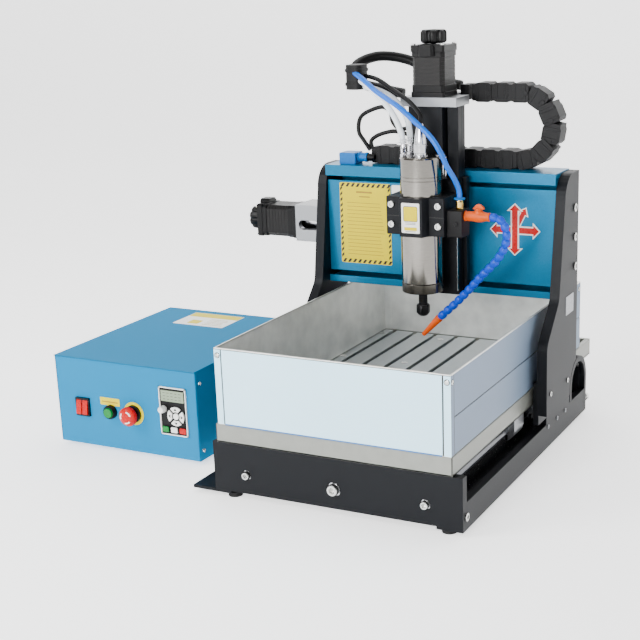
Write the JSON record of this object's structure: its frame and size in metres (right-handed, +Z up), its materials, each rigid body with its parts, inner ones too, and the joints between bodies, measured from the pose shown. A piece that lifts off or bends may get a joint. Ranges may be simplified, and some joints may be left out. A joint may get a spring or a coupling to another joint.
{
  "type": "desktop engraving machine",
  "caption": "Desktop engraving machine with a moving table in a water cistern, a fixed gantry, a water-cooled spindle and a separate controller.",
  "frame": {"origin": "middle of the bounding box's bottom face, on the surface the feet stand on", "axes": "+X to the right seen from the front, along the gantry beam; +Y to the back, along the table's travel; +Z up"},
  "size_m": [0.784, 0.669, 0.662],
  "materials": {
    "dark_plate": "black anodised",
    "blue_coat": "blue anodised",
    "blue_sheet": "gloss blue powder coat",
    "tray_sheet": "plain sheet",
    "aluminium": "milled",
    "ground_steel": "ground",
    "spindle_steel": "brushed",
    "nut_steel": "black oxide",
    "zinc": "zinc plated",
    "brass": "plain",
    "motor_black": "satin black",
    "black_plastic": "matte",
    "cable_black": "matte",
    "blue_plastic": "satin",
    "orange_plastic": "satin",
    "red_plastic": "gloss",
    "green_plastic": "gloss",
    "white_plastic": "gloss",
    "clear_hose": "clear vinyl",
    "blue_hose": "gloss polyurethane",
    "rubber": "matte"
  },
  "bodies": {
    "frame": {"base_end_plates": "dark_plate", "base_channel": "dark_plate", "feet": "rubber", "y_guide_rails": "ground_steel", "frame_motors": "motor_black", "gantry_left_plate": "dark_plate", "gantry_right_plate": "dark_plate", "gantry_beam": "blue_coat", "x_guide_rails": "ground_steel", "x_motor_bracket": "aluminium", "frame_bolts": "zinc", "cable_socket": "blue_plastic", "frame_cables": "cable_black", "drag_chain": "black_plastic", "controller_case": "blue_sheet", "controller_lid": "blue_sheet", "controller_electronics": "black_plastic", "switch_bezels": "black_plastic", "keypad_panel": "black_plastic"},
    "table": {"bed_base": "aluminium", "bed_bars": "aluminium", "drip_tray": "tray_sheet", "cistern_panels": "tray_sheet", "y_bearing_blocks": "aluminium"},
    "y_screw": {"y_ball_screw": "ground_steel"},
    "x_carriage": {"x_carriage_plate": "dark_plate", "x_bearing_blocks": "aluminium", "z_column": "dark_plate", "z_top_plate": "aluminium", "z_motor": "motor_black", "z_guide_rods": "ground_steel", "cable_harness": "cable_black"},
    "x_screw": {"x_ball_screw": "ground_steel"},
    "z_screw": {"z_ball_screw": "ground_steel"},
    "z_carriage": {"z_slide_plate": "dark_plate", "spindle_clamp": "dark_plate", "clamp_screws": "zinc", "spindle_body": "spindle_steel", "pipe_fittings": "brass", "coolant_manifold": "black_plastic", "coolant_valve": "orange_plastic", "spindle_lines": "clear_hose", "air_tube": "blue_hose"},
    "rotor": {"spindle_shaft": "nut_steel"},
    "lever": {"valve_lever": "orange_plastic"},
    "hose": {"coolant_hose": "blue_plastic"},
    "nozzle": {"coolant_nozzle": "blue_plastic"},
    "left_rocker": {"rocker_left": "red_plastic"},
    "right_rocker": {"rocker_right": "red_plastic"},
    "start": {"start_button": "green_plastic"},
    "stop": {"stop_button": "red_plastic"},
    "knob": {"speed_knob": "white_plastic"},
    "up_key": {"key_up": "white_plastic"},
    "left_key": {"key_left": "white_plastic"},
    "down_key": {"key_down": "white_plastic"},
    "right_key": {"key_right": "white_plastic"},
    "enter_key": {"key_enter": "white_plastic"},
    "run_key": {"key_run": "green_plastic"},
    "mode_key": {"key_mode": "white_plastic"},
    "stop_key": {"key_stop": "red_plastic"}
  },
  "joints": [
    {"name": "table_slide", "type": "slide", "parent": "frame", "child": "table", "axis": [0, 1, 0], "range_m": [-0.14, 0.14]},
    {"name": "x_slide", "type": "slide", "parent": "frame", "child": "x_carriage", "axis": [1, 0, 0], "range_m": [-0.125, 0.12], "deforming": ["drag_chain"]},
    {"name": "z_slide", "type": "slide", "parent": "x_carriage", "child": "z_carriage", "axis": [0, 0, 1], "range_m": [-0.06, 0.03], "deforming": ["air_tube", "spindle_lines"]},
    {"name": "y_screw_turn", "type": "hinge", "parent": "frame", "child": "y_screw", "pos_m": [0.173, 0.2345, 0.057], "axis": [0, 1, 0], "range_deg": [-10100, 10100]},
    {"name": "x_screw_turn", "type": "hinge", "parent": "frame", "child": "x_screw", "pos_m": [0.173, 0.0855, 0.342], "axis": [1, 0, 0], "range_deg": [-9100, 9100]},
    {"name": "z_screw_turn", "type": "hinge", "parent": "x_carriage", "child": "z_screw", "pos_m": [0.1845, 0.0265, 0.507], "axis": [0, 0, 1], "range_deg": [-4400, 4400]},
    {"name": "spindle_spin", "type": "hinge", "parent": "z_carriage", "child": "rotor", "pos_m": [0.1845, -0.0295, 0.257], "axis": [0, 0, 1], "continuous": true},
    {"name": "valve_turn", "type": "hinge", "parent": "z_carriage", "child": "lever", "pos_m": [0.279, -0.0295, 0.399], "axis": [0, 0, 1], "range_deg": [0, 90]},
    {"name": "hose_swivel", "type": "hinge", "parent": "z_carriage", "child": "hose", "pos_m": [0.309, -0.0295, 0.388], "axis": [1, 0, 0], "range_deg": [-12, 12]},
    {"name": "nozzle_swivel", "type": "hinge", "parent": "hose", "child": "nozzle", "pos_m": [0.238, -0.0295, 0.247], "axis": [0, 1, 0], "range_deg": [-12, 8]},
    {"name": "left_rocker_tilt", "type": "hinge", "parent": "frame", "child": "left_rocker", "pos_m": [-0.346, -0.24085, 0.073], "axis": [1, 0, 0], "range_deg": [-8, 8]},
    {"name": "right_rocker_tilt", "type": "hinge", "parent": "frame", "child": "right_rocker", "pos_m": [-0.334, -0.24085, 0.073], "axis": [1, 0, 0], "range_deg": [-8, 8]},
    {"name": "start_press", "type": "slide", "parent": "frame", "child": "start", "axis": [0, 1, 0], "range_m": [0, 0.003], "stiffness_N_per_m": 500, "springref_m": -0.002},
    {"name": "stop_press", "type": "slide", "parent": "frame", "child": "stop", "axis": [0, 1, 0], "range_m": [0, 0.004]},
    {"name": "knob_turn", "type": "hinge", "parent": "frame", "child": "knob", "pos_m": [-0.1767, -0.2365, 0.0904], "axis": [0, 1, 0], "range_deg": [-140, 140]},
    {"name": "up_key_press", "type": "slide", "parent": "frame", "child": "up_key", "axis": [0, 1, 0], "range_m": [0, 0.0008], "stiffness_N_per_m": 900, "springref_m": -0.0005},
    {"name": "left_key_press", "type": "slide", "parent": "frame", "child": "left_key", "axis": [0, 1, 0], "range_m": [0, 0.0008], "stiffness_N_per_m": 900, "springref_m": -0.0005},
    {"name": "down_key_press", "type": "slide", "parent": "frame", "child": "down_key", "axis": [0, 1, 0], "range_m": [0, 0.0008], "stiffness_N_per_m": 900, "springref_m": -0.0005},
    {"name": "right_key_press", "type": "slide", "parent": "frame", "child": "right_key", "axis": [0, 1, 0], "range_m": [0, 0.0008], "stiffness_N_per_m": 900, "springref_m": -0.0005},
    {"name": "enter_key_press", "type": "slide", "parent": "frame", "child": "enter_key", "axis": [0, 1, 0], "range_m": [0, 0.0008], "stiffness_N_per_m": 900, "springref_m": -0.0005},
    {"name": "run_key_press", "type": "slide", "parent": "frame", "child": "run_key", "axis": [0, 1, 0], "range_m": [0, 0.0008], "stiffness_N_per_m": 900, "springref_m": -0.0005},
    {"name": "mode_key_press", "type": "slide", "parent": "frame", "child": "mode_key", "axis": [0, 1, 0], "range_m": [0, 0.0008], "stiffness_N_per_m": 900, "springref_m": -0.0005},
    {"name": "stop_key_press", "type": "slide", "parent": "frame", "child": "stop_key", "axis": [0, 1, 0], "range_m": [0, 0.0008], "stiffness_N_per_m": 900, "springref_m": -0.0005}
  ],
  "couplings": [
    {"joint": "y_screw_turn", "follows": "table_slide", "rad_per_m": -1256.6},
    {"joint": "x_screw_turn", "follows": "x_slide", "rad_per_m": -1256.6},
    {"joint": "z_screw_turn", "follows": "z_slide", "rad_per_m": -1256.6}
  ]
}
